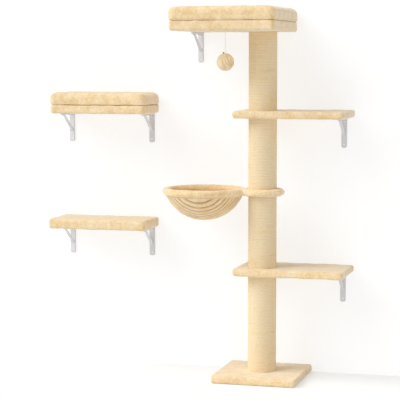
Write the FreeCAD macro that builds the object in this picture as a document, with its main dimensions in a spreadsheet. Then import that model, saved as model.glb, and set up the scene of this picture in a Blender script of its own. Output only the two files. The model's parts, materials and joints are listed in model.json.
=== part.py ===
"""Wall mounted cat tree: a four-section sisal post with two shelves, a perch and a hammock, and
two separate wall shelves. All of it hangs on pressed steel brackets along one wall.

Millimetres. The origin is on the floor under the post's axis, +X runs right along the wall,
+Y points to the wall and +Z is up.
"""
import FreeCAD, Part
import math
import os
import re

import Sketcher
from FreeCAD import Vector

SIZES = {
    # places
    "wall_distance": 167.0,          # post axis to the wall
    "lower_shelf_top": 437.0,
    "hammock_height": 731.4,         # centre of the hammock ring's tube
    "upper_shelf_top": 1047.0,
    "perch_bottom": 1351.5,
    # plush covered boards of the tower
    "base_width": 334.0,
    "base_depth": 334.0,
    "base_thickness": 31.0,
    "shelf_left": 102.0,             # post axis to the shelves' left ends
    "shelf_width": 435.0,
    "shelf_depth": 257.0,
    "shelf_thickness": 29.0,
    "perch_left": 306.0,
    "perch_width": 406.0,
    "perch_depth": 420.0,
    "perch_thickness": 38.0,
    "perch_cushion_height": 54.0,
    # separate wall shelves
    "pad_shelf_left": 866.0,         # post axis to each wall shelf's left end
    "pad_shelf_bottom": 1028.5,
    "pad_shelf_width": 397.0,
    "pad_shelf_depth": 207.0,
    "pad_shelf_thickness": 34.0,
    "pad_shelf_cushion_height": 51.0,
    "plain_shelf_left": 878.0,
    "plain_shelf_bottom": 566.0,
    "plain_shelf_width": 407.0,
    "plain_shelf_depth": 205.0,
    "plain_shelf_thickness": 40.0,
    # covers and cushions
    "plush_thickness": 4.0,
    "cover_gap": 0.2,                # between a cover and the board in it
    "corner_radius": 14.0,           # a covered board's corners, seen from above
    "edge_radius": 10.0,             # its upper and lower edges
    "cushion_gap": 0.3,              # between a loose cushion and its board
    "cushion_cloth": 3.0,
    "cushion_corner": 24.0,
    "cushion_pull": 5.0,             # how far the sides draw in between the corners
    "cushion_crown": 7.0,            # how much higher the middle is than the shoulders
    # post
    "sisal_radius": 55.5,
    "sisal_thickness": 3.5,
    "tube_wall": 5.0,
    "sleeve_gap": 0.15,              # between the post's nested sleeves
    "plug_thickness": 25.0,
    # fasteners
    "stud_radius": 4.0,
    "stud_gap": 0.15,
    "stud_end": 1.0,                 # a stud stops this far inside its plug
    "stud_grip": 17.0,               # depth of the stud in the base
    "washer_radius": 10.0,
    "washer_thickness": 1.6,
    "bolt_head_radius": 6.5,
    "bolt_head_height": 4.0,
    "recess_depth": 10.5,
    "recess_radius": 12.0,
    # hammock
    "ring_radius": 150.0,            # centre line of the large ring
    "collar_radius": 71.0,           # centre line of the small ring round the post
    "rim_radius": 14.4,              # the plush tube round the wire
    "wire_radius": 4.0,
    "wire_gap": 0.2,
    "weld_gap": 8.0,                 # between the centre lines of the ring and the collar
    "weld_plate_width": 30.0,
    "weld_plate_thickness": 5.0,
    "rim_end_angle": 19.5,           # from the collar's side to each end of the ring's sleeve
    "collar_mouth_width": 72.0,
    "collar_mouth_height": 10.0,
    "cross_plate_width": 25.0,
    "cross_plate_thickness": 3.0,
    "running_gap": 0.3,              # above, below and inside the turning cross plate
    "hammock_angle": 6.0,            # how far it stands swung out from the wall
    "bowl_depth": 112.0,             # ring centre to the underside of the bowl
    "bowl_cloth": 8.0,
    "bowl_inset": 1.0,               # from the ring's centre line in to the bowl's outer edge
    "bowl_gap": 0.3,
    # hanging ball
    "toy_left": 121.0,
    "toy_front": 110.0,
    "toy_knot_radius": 2.6,
    "toy_cord_radius": 0.75,
    "toy_cord_length": 78.0,
    "toy_ball_radius": 33.5,
    "toy_thread_radius": 2.4,
    "toy_thread_tilt": 12.0,
    "toy_gap": 0.3,
    # pressed steel bracket
    "bracket_width": 22.0,
    "bracket_leg": 120.0,
    "bracket_arm": 120.0,
    "bracket_rise": 8.0,             # how far its face stands off the wall and the board
    "bracket_steel": 2.0,
    "bracket_end_radius": 8.0,
    "bracket_edge": 1.8,             # the bevel round its face
    "brace_width": 10.0,
    "brace_thickness": 5.0,
    "brace_foot": 66.0,              # the brace's foot, down the leg
    "brace_reach": 97.0,             # the brace's head, out along the arm
    "wall_hole_radius": 2.6,
    "wall_hole_top": 17.0,
    "wall_hole_end": 13.0,
    "arm_hole_radius": 2.4,
    "arm_hole_back": 40.0,
    "arm_hole_end": 9.0,
    "board_screw_radius": 1.9,
    "board_screw_length": 26.0,
    "screw_head_radius": 3.9,
    "screw_head_height": 2.4,
    "pilot_gap": 0.15,
    "perch_bracket_left": 294.0,     # post axis to each bracket's middle
    "shelf_bracket_right": 290.0,
    "wall_shelf_bracket_left": 844.0,
    "wall_shelf_bracket_right": 500.0,
}

# left end, width, depth, underside and thickness of each covered board
BOARDS = {
    "base": ("-base_width / 2", "base_width", "base_depth", "0", "base_thickness"),
    "lower_shelf": ("-shelf_left", "shelf_width", "shelf_depth",
                    "lower_shelf_top - shelf_thickness", "shelf_thickness"),
    "upper_shelf": ("-shelf_left", "shelf_width", "shelf_depth",
                    "upper_shelf_top - shelf_thickness", "shelf_thickness"),
    "perch": ("-perch_left", "perch_width", "perch_depth", "perch_bottom", "perch_thickness"),
    "pad_shelf": ("-pad_shelf_left", "pad_shelf_width", "pad_shelf_depth",
                  "pad_shelf_bottom", "pad_shelf_thickness"),
    "plain_shelf": ("-plain_shelf_left", "plain_shelf_width", "plain_shelf_depth",
                    "plain_shelf_bottom", "plain_shelf_thickness"),
}

# each bracket's middle along the wall
BRACKETS = {
    "perch": {"": "-perch_bracket_left"},
    "upper_shelf": {"": "shelf_bracket_right"},
    "lower_shelf": {"": "shelf_bracket_right"},
    "pad_shelf": {"_left": "-wall_shelf_bracket_left", "_right": "-wall_shelf_bracket_right"},
    "plain_shelf": {"_left": "-wall_shelf_bracket_left", "_right": "-wall_shelf_bracket_right"},
}

CUSHIONS = {"perch": "perch_cushion_height", "pad_shelf": "pad_shelf_cushion_height"}

PLATE_TOP = "hammock_height + cross_plate_thickness / 2"
PLATE_UNDERSIDE = "hammock_height - cross_plate_thickness / 2"

# underside and top of each post section
POST_SECTIONS = [
    ("base_thickness", "lower_shelf_top - shelf_thickness"),
    ("lower_shelf_top", PLATE_UNDERSIDE + " - running_gap"),
    (PLATE_TOP + " + running_gap", "upper_shelf_top - shelf_thickness"),
    ("upper_shelf_top", "perch_bottom"),
]

# lowest and highest point of each stud
STUDS = {
    "base_stud": ("base_thickness - stud_grip", "base_thickness + plug_thickness - stud_end"),
    "lower_shelf_stud": ("lower_shelf_top - shelf_thickness - plug_thickness + stud_end",
                         "lower_shelf_top + plug_thickness - stud_end"),
    "hammock_stud": (PLATE_UNDERSIDE + " - plug_thickness + stud_end",
                     PLATE_TOP + " + plug_thickness - stud_end"),
    "upper_shelf_stud": ("upper_shelf_top - shelf_thickness - plug_thickness + stud_end",
                         "upper_shelf_top + plug_thickness - stud_end"),
}

# a cushion's side from its foot up: share of the shoulder's height, inset
CUSHION_SIDE = [(0.0, 9.0), (0.14, 2.0), (0.4, 0.0), (0.66, 0.5), (0.88, 7.0), (1.0, 22.0)]
# its top from the shoulder in: share of the way to the middle, share of the crown
CUSHION_TOP = [(0.38, 0.7), (0.75, 1.0)]
# the few of them that its core has
CORE_SIDE = [CUSHION_SIDE[0], CUSHION_SIDE[2], CUSHION_SIDE[4]]
CORE_TOP = CUSHION_TOP[1:]

doc = FreeCAD.newDocument("CatTree")
parts = {}


# ---------------------------------------------------------------- sheet and formulas

def write_sizes():
    sheet = doc.addObject("Spreadsheet::Sheet", "Sizes")
    for row, (alias, value) in enumerate(SIZES.items(), start=1):
        sheet.set(f"A{row}", alias.replace("_", " "))
        sheet.set(f"B{row}", str(value))
        sheet.setAlias(f"B{row}", alias)
    doc.recompute()
    return sheet


def formula(text):
    """The text with each size's name written as its cell."""
    return re.sub(r"[a-z]\w*", lambda word: f"Sizes.{word[0]}" if word[0] in SIZES else word[0], text)


def number(text):
    return float(sizes.evalExpression(formula(text)))


def bind(thing, **formulas):
    for field, text in formulas.items():
        thing.setExpression(field, formula(text))
    return thing


def place(thing, x="0", y="0", z="0"):
    for axis, text in (("x", x), ("y", y), ("z", z)):
        thing.setExpression(f"Placement.Base.{axis}", formula(text))
    return thing


def keep(name, thing):
    """Notes a finished sub-part under its node's name."""
    thing.Label = name
    parts[name] = thing
    return thing


# ---------------------------------------------------------------- simple solids

def box(name, x, y, z, length, width, height):
    solid = doc.addObject("Part::Box", name)
    bind(solid, Length=length, Width=width, Height=height)
    return place(solid, x, y, z)


def cylinder(name, radius, bottom, top, x="0", y="0"):
    solid = doc.addObject("Part::Cylinder", name)
    bind(solid, Radius=radius, Height=f"({top}) - ({bottom})")
    return place(solid, x, y, bottom)


def sphere(name, radius, x="0", y="0", z="0"):
    solid = bind(doc.addObject("Part::Sphere", name), Radius=radius)
    return place(solid, x, y, z)


def torus(name, ring, tube, x="0", y="0", z="0"):
    solid = bind(doc.addObject("Part::Torus", name), Radius1=ring, Radius2=tube)
    return place(solid, x, y, z)


def fuse(name, solids):
    joined = doc.addObject("Part::MultiFuse", name)
    joined.Shapes = solids
    return joined


def cut(name, solid, tools):
    """The solid less every tool."""
    result = doc.addObject("Part::Cut", name)
    result.Base = solid
    result.Tool = tools[0] if len(tools) == 1 else fuse(name + "_tools", tools)
    return result


def ring(name, outer, inner, bottom, top):
    return cut(name, cylinder(name + "_outside", outer, bottom, top),
               [cylinder(name + "_bore", inner, f"({bottom}) - 1", f"({top}) + 1")])


# ---------------------------------------------------------------- sketched solids

def new_sketch(body, role, name, height="0"):
    """A sketch parallel to the body's plane of that role."""
    plane = next(item for item in body.Origin.OriginFeatures if item.Role == role)
    sketch = body.newObject("Sketcher::SketchObject", name)
    sketch.AttachmentSupport = [(plane, "")]
    sketch.MapMode = "FlatFace"
    sketch.setExpression("AttachmentOffset.Base.z", formula(height))
    return sketch


def hold_point(sketch, geometry, point, x, y):
    for kind, text in (("DistanceX", x), ("DistanceY", y)):
        index = sketch.addConstraint(
            Sketcher.Constraint(kind, -1, 1, geometry, point, number(text)))
        sketch.setExpression(f"Constraints[{index}]", formula(text))


def outline(sketch, corners):
    """A closed outline of straight lines, each corner held by two formulas."""
    points = [Vector(number(x), number(y), 0) for x, y in corners]
    for index, point in enumerate(points):
        sketch.addGeometry(Part.LineSegment(point, points[(index + 1) % len(points)]), False)
    for index, (x, y) in enumerate(corners):
        before = (index - 1) % len(corners)
        sketch.addConstraint(Sketcher.Constraint("Coincident", before, 2, index, 1))
        hold_point(sketch, index, 1, x, y)


def circles(sketch, radius, centres):
    for x, y in centres:
        centre = Vector(number(x), number(y), 0)
        index = sketch.addGeometry(Part.Circle(centre, Vector(0, 0, 1), number(radius)), False)
        hold_point(sketch, index, 3, x, y)
        held = sketch.addConstraint(Sketcher.Constraint("Radius", index, number(radius)))
        sketch.setExpression(f"Constraints[{held}]", formula(radius))


def pad(body, sketch, length):
    feature = body.newObject("PartDesign::Pad", sketch.Name + "Pad")
    feature.Profile = sketch
    bind(feature, Length=length)
    sketch.Visibility = False
    doc.recompute()
    return feature


def pocket(body, sketch, depth, flip=False):
    """Cuts the sketch into the body, and fails if nothing is cut."""
    before = body.Shape.Volume
    feature = body.newObject("PartDesign::Pocket", sketch.Name + "Pocket")
    feature.Profile = sketch
    feature.Reversed = flip
    bind(feature, Length=depth)
    doc.recompute()
    if body.Shape.Volume > before - 1:
        raise RuntimeError(f"{feature.Name} cuts nothing")
    return feature


def dress_edges(body, kind, size, chosen):
    """Fillets or chamfers the edges of the body's tip for which chosen(edge) is true."""
    tip = body.Tip
    names = [f"Edge{index}" for index, edge in enumerate(tip.Shape.Edges, start=1) if chosen(edge)]
    feature = body.newObject(f"PartDesign::{kind}", tip.Name + kind)
    feature.Base = (tip, names)
    bind(feature, **{"Radius" if kind == "Fillet" else "Size": size})
    doc.recompute()
    return feature


def direction(edge):
    return edge.tangentAt((edge.FirstParameter + edge.LastParameter) / 2)


def upright(edge):
    return abs(direction(edge).z) > 0.99


def level(edge):
    return abs(edge.BoundBox.ZMax - edge.BoundBox.ZMin) < 0.01


def slab(name, place_formulas, shrink="0", corner="corner_radius", edge=None):
    """A board's block with rounded corners, drawn in all round by shrink."""
    left, width, depth, bottom, thickness = place_formulas
    body = doc.addObject("PartDesign::Body", name)
    sketch = new_sketch(body, "XY_Plane", name + "_plan")
    half_x, half_y = f"(({width}) / 2 - ({shrink}))", f"(({depth}) / 2 - ({shrink}))"
    outline(sketch, [(f"-{half_x}", f"-{half_y}"), (half_x, f"-{half_y}"),
                     (half_x, half_y), (f"-{half_x}", half_y)])
    pad(body, sketch, f"({thickness}) - 2 * ({shrink})")
    dress_edges(body, "Fillet", corner, upright)
    if edge:
        dress_edges(body, "Fillet", edge, level)
    return place(body, f"({left}) + ({width}) / 2", f"wall_distance - ({depth}) / 2",
                 f"({bottom}) + ({shrink})")


# ---------------------------------------------------------------- boards and covers

def screw_holes(board):
    """Pilot holes for the screws of the brackets under a board."""
    bottom = BOARDS[board][3]
    depth = "board_screw_length - bracket_rise + 2"
    holes = []
    for suffix, middle in BRACKETS.get(board, {}).items():
        for index, out in enumerate(("arm_hole_back", "bracket_arm - arm_hole_end")):
            holes.append(cylinder(f"{board}{suffix}_pilot{index}", "board_screw_radius + pilot_gap",
                                  f"({bottom}) - 1", f"({bottom}) + {depth}",
                                  middle, f"wall_distance - ({out})"))
    return holes


def post_holes(board):
    """Holes in a board for the fasteners of the post."""
    radius = "stud_radius + stud_gap"
    bottom, thickness = BOARDS[board][3:]
    top = f"({bottom}) + ({thickness})"
    if board == "base":
        return [cylinder("base_stud_hole", radius, "base_thickness - stud_grip - stud_end",
                         top + " + 1")]
    if board in ("lower_shelf", "upper_shelf"):
        return [cylinder(board + "_stud_hole", radius, f"({bottom}) - 1", top + " + 1")]
    if board == "perch":
        return [cylinder("perch_bolt_hole", radius, f"({bottom}) - 1", top),
                cylinder("perch_bolt_recess", "recess_radius", top + " - recess_depth",
                         top + " + 1")]
    return []


def make_boards():
    for board, formulas in BOARDS.items():
        holes = post_holes(board) + screw_holes(board)
        core = slab(board + "_core", formulas, "plush_thickness + cover_gap",
                    "corner_radius - plush_thickness - cover_gap")
        keep(board + "_board", cut(board + "_board", core, holes))
        skin = slab(board + "_skin", formulas, edge="edge_radius")
        hollow = slab(board + "_hollow", formulas, "plush_thickness",
                      "corner_radius - plush_thickness")
        keep(board + "_cover", cut(board + "_cover", skin, [hollow] + holes))


# ---------------------------------------------------------------- cushions

def cushion_section(half_x, half_y, corner, pull, height):
    """One level outline of a cushion: round corners, and sides that draw in between them."""
    ends = [(half_x - corner, half_y), (half_x, half_y - corner)]
    diagonal = corner * (1 - math.sqrt(0.5))
    edges = []
    quarter = [Vector(*ends[0]), Vector(half_x - diagonal, half_y - diagonal), Vector(*ends[1])]
    for turn_x, turn_y in ((1, 1), (1, -1), (-1, -1), (-1, 1)):
        points = [Vector(p.x * turn_x, p.y * turn_y, height) for p in quarter]
        if turn_x != turn_y:
            points.reverse()
        side = (Vector(half_x - pull, 0, height) if points[-1].x > 0 else
                Vector(pull - half_x, 0, height))
        if turn_x != turn_y:
            side = Vector(0, (half_y - pull) * turn_y, height)
        edges.append((points, side))
    lines = []
    for index, (points, side) in enumerate(edges):
        lines.append(Part.Arc(*points).toShape())
        following = edges[(index + 1) % 4][0][0]
        lines.append(Part.Arc(points[-1], side, following).toShape())
    return Part.Wire(lines)


def cushion_solid(width, depth, height, inset, side, top):
    """A crowned cushion on its own underside, drawn in all round by inset."""
    corner, pull = number("cushion_corner"), number("cushion_pull")
    crown = number("cushion_crown")
    half_x, half_y = width / 2 - inset, depth / 2 - inset
    levels = [(share * (height - crown), sink) for share, sink in side]
    levels += [(height - crown + share * crown, inward * min(half_x, half_y))
               for inward, share in top]
    scale = (height - 2 * inset) / height
    wires = [cushion_section(half_x - sink, half_y - sink, corner, pull, inset + rise * scale)
             for rise, sink in levels]
    return Part.makeLoft(wires, True, True)


def make_cushions():
    for board, height in CUSHIONS.items():
        left, width, depth, bottom, thickness = BOARDS[board]
        size = (number(width), number(depth), number(height) - number("cushion_gap"))
        cloth = number("cushion_cloth")
        outside = cushion_solid(*size, 0, CUSHION_SIDE, CUSHION_TOP)
        hollow = cushion_solid(*size, cloth, CORE_SIDE, CORE_TOP)
        core = cushion_solid(*size, cloth + number("cover_gap"), CORE_SIDE, CORE_TOP)
        for piece, shape in (("cushion_cover", outside.cut(hollow)), ("cushion_foam", core)):
            feature = doc.addObject("Part::Feature", f"{board}_{piece}")
            feature.Shape = shape
            place(feature, f"({left}) + ({width}) / 2", f"wall_distance - ({depth}) / 2",
                  f"({bottom}) + ({thickness}) + cushion_gap")
            keep(f"{board}_{piece}", feature)


# ---------------------------------------------------------------- post

def make_post():
    tube_radius = "(sisal_radius - sisal_thickness - sleeve_gap)"
    plug_radius = f"({tube_radius} - tube_wall - sleeve_gap)"
    for index, (bottom, top) in enumerate(POST_SECTIONS, start=1):
        keep(f"post_sisal_{index}", ring(f"post_sisal_{index}", "sisal_radius",
                                         "sisal_radius - sisal_thickness", bottom, top))
        keep(f"post_tube_{index}", ring(f"post_tube_{index}", tube_radius,
                                        tube_radius + " - tube_wall", bottom, top))
        plugs = [ring(f"post_plug_{index}_{place_name}", plug_radius, "stud_radius + stud_gap",
                      low, high)
                 for place_name, low, high in (
                     ("foot", bottom, f"({bottom}) + plug_thickness"),
                     ("head", f"({top}) - plug_thickness", top))]
        pair = doc.addObject("Part::Compound", f"post_plugs_{index}")
        pair.Links = plugs
        keep(f"post_plugs_{index}", pair)
    for name, (bottom, top) in STUDS.items():
        keep(name, cylinder(name, "stud_radius", bottom, top))


def make_perch_bolt():
    floor = "perch_bottom + perch_thickness - recess_depth"
    seat = floor + " + washer_thickness"
    keep("perch_washer", ring("perch_washer", "washer_radius", "stud_radius + stud_gap",
                              floor, seat))
    shank = cylinder("perch_bolt_shank", "stud_radius",
                     "perch_bottom - plug_thickness + stud_end", seat)
    head = doc.addObject("Part::Prism", "perch_bolt_head")
    head.Polygon = 6
    bind(head, Circumradius="bolt_head_radius", Height="bolt_head_height")
    place(head, z=seat)
    keep("perch_bolt", fuse("perch_bolt", [shank, head]))


# ---------------------------------------------------------------- hammock

RING_REACH = "(ring_radius + collar_radius + weld_gap)"


def swing_out(thing, reach="0"):
    """Sets a piece at the hammock's height, swung out from the wall about the post."""
    thing.setExpression("Placement.Rotation.Angle", formula("hammock_angle"))
    return place(thing, f"-({reach}) * cos(hammock_angle * 1deg)",
                 f"-({reach}) * sin(hammock_angle * 1deg)", "hammock_height")


def plate(name, left, right, width, thickness, gap="0"):
    """A level plate across the post's line, drawn out all round by gap."""
    half, rise = f"({width} / 2 + {gap})", f"({thickness} / 2 + {gap})"
    return box(name, f"{left} - {gap}", f"-{half}", f"-{rise}",
               f"{right} - ({left}) + 2 * {gap}", f"2 * {half}", f"2 * {rise}")


def cross_plate(name, gap="0"):
    """The plate that two post sections clamp."""
    return plate(name, "-collar_radius", "collar_radius", "cross_plate_width",
                 "cross_plate_thickness", gap)


def ring_tube(name, tube):
    """A tube along the large ring, open where the collar is."""
    solid = bind(torus(name, "ring_radius", tube), Angle3="360 - 2 * rim_end_angle")
    solid.setExpression("Placement.Rotation.Angle", formula("rim_end_angle"))
    return solid


def make_hammock_frame():
    """Two wire rings side by side, the plate that joins them and the cross plate."""
    steel = fuse("hammock_steel", [
        torus("hammock_ring_wire", "ring_radius", "wire_radius", f"-{RING_REACH}"),
        torus("hammock_collar_wire", "collar_radius", "wire_radius"),
        cross_plate("hammock_cross_plate"),
        plate("hammock_weld_plate", "-collar_radius - weld_gap", "-collar_radius",
              "weld_plate_width", "weld_plate_thickness")])
    stud_hole = cylinder("hammock_plate_hole", "stud_radius + running_gap",
                         "-cross_plate_thickness", "cross_plate_thickness")
    keep("hammock_frame", swing_out(cut("hammock_frame", steel, [stud_hole])))


def make_hammock_sleeves():
    """The plush sleeve round each ring. The collar's has a mouth where the other ring leaves."""
    channel = "wire_radius + wire_gap"
    rim = cut("hammock_rim", ring_tube("hammock_rim_tube", "rim_radius"),
              [ring_tube("hammock_rim_channel", channel)])
    keep("hammock_rim", swing_out(rim, RING_REACH))
    collar = torus("hammock_collar_tube", "collar_radius", "rim_radius")
    tools = [torus("hammock_collar_channel", "collar_radius", channel),
             plate("hammock_collar_mouth", "-collar_radius - weld_gap - rim_radius",
                   "-collar_radius", "collar_mouth_width", "collar_mouth_height"),
             cross_plate("hammock_collar_slot", "wire_gap")]
    for step, tool in enumerate(tools):
        collar = cut(f"hammock_collar_{step}", collar, [tool])
    keep("hammock_collar", swing_out(collar))


def make_bowl():
    edge = "(ring_radius - bowl_inset)"
    drop = "(bowl_depth - rim_radius - bowl_gap)"
    radius = f"(({edge} * {edge} + {drop} * {drop}) / (2 * {drop}))"
    centre = f"{radius} - bowl_depth"
    shell = cut("bowl_shell", sphere("bowl_outside", radius, z=centre),
                [sphere("bowl_inside", f"{radius} - bowl_cloth", z=centre)])
    above = cylinder("bowl_above", f"2 * {radius}", "-rim_radius - bowl_gap", f"3 * {radius}")
    keep("hammock_basket", swing_out(cut("hammock_basket", shell, [above]), RING_REACH))


# ---------------------------------------------------------------- hanging ball

def make_toy():
    x, y = "-toy_left", "-toy_front"
    knot = "perch_bottom - toy_gap - toy_knot_radius"
    cord_top = f"{knot} - toy_knot_radius - toy_gap"
    cord_end = f"{cord_top} - toy_cord_length"
    centre = f"{cord_end} - toy_ball_radius"
    keep("toy_knot", sphere("toy_knot", "toy_knot_radius", x, y, knot))
    keep("toy_cord", cylinder("toy_cord", "toy_cord_radius", cord_end, cord_top, x, y))
    keep("toy_ball", sphere("toy_ball", "toy_ball_radius", x, y, centre))
    out = "(toy_ball_radius + toy_thread_radius)"
    keep("toy_thread_end",
         sphere("toy_thread_end", "toy_thread_radius",
                f"{x} - {out} * sin(toy_thread_tilt * 1deg)", y,
                f"{centre} + {out} * cos(toy_thread_tilt * 1deg)"))


# ---------------------------------------------------------------- brackets

def make_bracket(name, middle, board):
    """A pressed bracket with its back on the wall and its arm's top under the board."""
    body = doc.addObject("PartDesign::Body", name)
    side = new_sketch(body, "YZ_Plane", name + "_side", "-bracket_width / 2")
    outline(side, [("0", "0"), ("-bracket_arm", "0"), ("-bracket_arm", "-bracket_rise"),
                   ("-bracket_rise", "-bracket_rise"), ("-bracket_rise", "-bracket_leg"),
                   ("0", "-bracket_leg")])
    pad(body, side, "bracket_width")
    arm, leg, rise = number("bracket_arm"), number("bracket_leg"), number("bracket_rise")
    half = number("bracket_width") / 2

    def at_end(edge):
        middle_point = edge.CenterOfMass
        on_side = abs(abs(middle_point.x) - half) < 0.01
        return on_side and (abs(middle_point.y + arm) < 0.01 or abs(middle_point.z + leg) < 0.01)

    def on_face(edge):
        bounds = edge.BoundBox
        leg_face = bounds.YMax < 0.01 - rise and bounds.YMin > -0.01 - rise
        arm_face = bounds.ZMax < 0.01 - rise and bounds.ZMin > -0.01 - rise
        return leg_face != arm_face

    dress_edges(body, "Fillet", "bracket_end_radius", at_end)
    dress_edges(body, "Chamfer", "bracket_edge", on_face)
    inner = "(bracket_width / 2 - bracket_steel)"
    back = new_sketch(body, "XZ_Plane", name + "_back")
    outline(back, hollow_corners(inner, "bracket_leg"))
    pocket(body, back, "bracket_rise - bracket_steel", flip=True)
    top = new_sketch(body, "XY_Plane", name + "_top")
    outline(top, hollow_corners(inner, "bracket_arm"))
    pocket(body, top, "bracket_rise - bracket_steel")
    brace = new_sketch(body, "YZ_Plane", name + "_brace", "-brace_width / 2")
    web = "(bracket_rise - bracket_steel / 2)"
    outline(brace, [(f"-{web}", "-brace_foot"), (f"-{web}", "-brace_foot - 2 * brace_thickness"),
                    ("-brace_reach - brace_thickness", f"-{web}"), ("-brace_reach", f"-{web}")])
    pad(body, brace, "brace_width")
    wall_holes = new_sketch(body, "XZ_Plane", name + "_wall_holes")
    circles(wall_holes, "wall_hole_radius",
            [("0", "-wall_hole_top"), ("0", "wall_hole_end - bracket_leg")])
    pocket(body, wall_holes, "bracket_rise + 1", flip=True)
    arm_holes = new_sketch(body, "XY_Plane", name + "_arm_holes")
    circles(arm_holes, "arm_hole_radius",
            [("0", "-arm_hole_back"), ("0", "arm_hole_end - bracket_arm")])
    pocket(body, arm_holes, "bracket_rise + 1")
    keep(name, place(body, middle, "wall_distance", BOARDS[board][3]))


def hollow_corners(half_width, length):
    """The hollow behind a bracket's face: an eight-sided outline that follows its round end."""
    cut_corner = "(bracket_end_radius * 0.6)"
    end = f"(bracket_steel - {length})"
    return [(f"-{half_width}", "-bracket_steel"), (f"-{half_width}", f"{end} + {cut_corner}"),
            (f"{cut_corner} - {half_width}", end), (f"{half_width} - {cut_corner}", end),
            (half_width, f"{end} + {cut_corner}"), (half_width, "-bracket_steel")]


def make_screws(name, middle, board):
    """The two pan head screws that hold a board down on its bracket."""
    bottom = BOARDS[board][3]
    seat = f"({bottom}) - bracket_rise"
    screws = []
    for index, out in enumerate(("arm_hole_back", "bracket_arm - arm_hole_end")):
        y = f"wall_distance - ({out})"
        head = cylinder(f"{name}_head{index}", "screw_head_radius",
                        f"{seat} - screw_head_height", seat, middle, y)
        shank = cylinder(f"{name}_shank{index}", "board_screw_radius",
                         seat, f"{seat} + board_screw_length", middle, y)
        screws.append(fuse(f"{name}_{index}", [head, shank]))
    pair = doc.addObject("Part::Compound", name)
    pair.Links = screws
    keep(name, pair)


def make_brackets():
    for board, places in BRACKETS.items():
        for suffix, middle in places.items():
            make_bracket(f"bracket_{board}{suffix}", middle, board)
            make_screws(f"screws_{board}{suffix}", middle, board)


# ---------------------------------------------------------------- build, test, write

def check():
    """Stops at any failed object or sub-part."""
    for thing in doc.Objects:
        if {"Invalid", "Error"} & set(thing.State):
            raise RuntimeError(f"{thing.Name}: {thing.State}")
    for name, thing in parts.items():
        if thing.Shape.isNull() or not thing.Shape.isValid():
            raise RuntimeError(f"{name} has no valid shape")
        if not thing.Shape.Solids:
            raise RuntimeError(f"{name} has no solid")


def write_parts():
    os.makedirs("parts", exist_ok=True)
    for name, thing in parts.items():
        thing.Shape.exportStep(f"parts/{name}.step")
        print(f"{name:26s} {len(thing.Shape.Solids)} solids {thing.Shape.Volume / 1000:10.1f} cm3")
    print(f"{len(parts)} sub-parts")


sizes = write_sizes()
make_boards()
make_cushions()
make_post()
make_perch_bolt()
make_hammock_frame()
make_hammock_sleeves()
make_bowl()
make_toy()
make_brackets()
doc.recompute()
check()
write_parts()
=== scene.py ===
"""Wall mounted cat tree: plush covers, cushions, sisal rope, a hanging basket bed and a ball, made
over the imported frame. Metres, in the frame's axes: +X runs right along the wall, +Y points to the
wall and +Z is up.
"""

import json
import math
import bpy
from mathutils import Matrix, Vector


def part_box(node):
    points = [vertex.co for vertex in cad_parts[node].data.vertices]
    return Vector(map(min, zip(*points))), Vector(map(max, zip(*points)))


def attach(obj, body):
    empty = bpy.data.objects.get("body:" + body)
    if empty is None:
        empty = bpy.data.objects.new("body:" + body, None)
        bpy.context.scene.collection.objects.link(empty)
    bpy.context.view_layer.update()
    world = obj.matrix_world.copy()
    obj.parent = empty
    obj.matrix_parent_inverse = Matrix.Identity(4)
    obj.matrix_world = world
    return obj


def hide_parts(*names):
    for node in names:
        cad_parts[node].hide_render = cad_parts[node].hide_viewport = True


bl_info = {
    "name": "Wall Mounted Cat Tree",
    "version": (1, 0, 0),
    "blender": (4, 5, 0),
    "location": "View3D > Sidebar > Cat Tree",
    "description": "Plush, sisal rope, quilting and steel of a wall mounted cat tree",
    "category": "Object",
}

import bmesh
import bpy
import numpy as np
from bpy.props import FloatProperty, FloatVectorProperty, IntProperty, PointerProperty
from mathutils import Vector, noise

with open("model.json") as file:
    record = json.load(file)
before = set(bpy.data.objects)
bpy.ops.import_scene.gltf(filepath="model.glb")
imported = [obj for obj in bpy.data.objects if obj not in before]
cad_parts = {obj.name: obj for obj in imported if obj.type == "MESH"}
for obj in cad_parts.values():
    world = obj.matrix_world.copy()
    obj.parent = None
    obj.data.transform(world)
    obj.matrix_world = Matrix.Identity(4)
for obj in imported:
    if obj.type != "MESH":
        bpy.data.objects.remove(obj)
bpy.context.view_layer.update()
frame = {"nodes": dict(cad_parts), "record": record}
NODES = frame["nodes"]

BOARDS = ("base", "lower_shelf", "upper_shelf", "perch", "pad_shelf", "plain_shelf")
CUSHIONS = ("perch_cushion", "pad_shelf_cushion")
POST_SECTIONS = ("post_sisal_1", "post_sisal_2", "post_sisal_3", "post_sisal_4")

# the direction in which each lamp stands, and the angle in degrees that it fills in the sky
KEY_LAMP = ((-0.75, -0.45, 0.75), 50)
FILL_LAMP = ((0.85, -0.5, 0.35), 60)
STAGE_REACH = 6.0
FLOOR_GAP = 0.0006  # from the base down to the stage's floor, so that they don't share a face
WALL_GAP = 0.001  # from the brackets back to the stage's wall
WAVE_LENGTH = 0.314  # between a wave texture's bands at scale 1, and twice it for slanting ones


def linear(hex_colour):
    """An sRGB hex colour as linear RGBA."""
    channels = (int(hex_colour[start:start + 2], 16) / 255 for start in (1, 3, 5))
    return (*(c / 12.92 if c <= 0.04045 else ((c + 0.055) / 1.055) ** 2.4 for c in channels), 1.0)


def length_setting(name, description, default):
    return FloatProperty(name=name, description=description, default=default, min=0.0,
                         precision=4, unit="LENGTH")


def colour_setting(name, description, default):
    return FloatVectorProperty(name=name, description=description, default=linear(default),
                               size=4, min=0.0, max=1.0, subtype="COLOR")


# ------------------------------------------------------------------ settings

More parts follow.
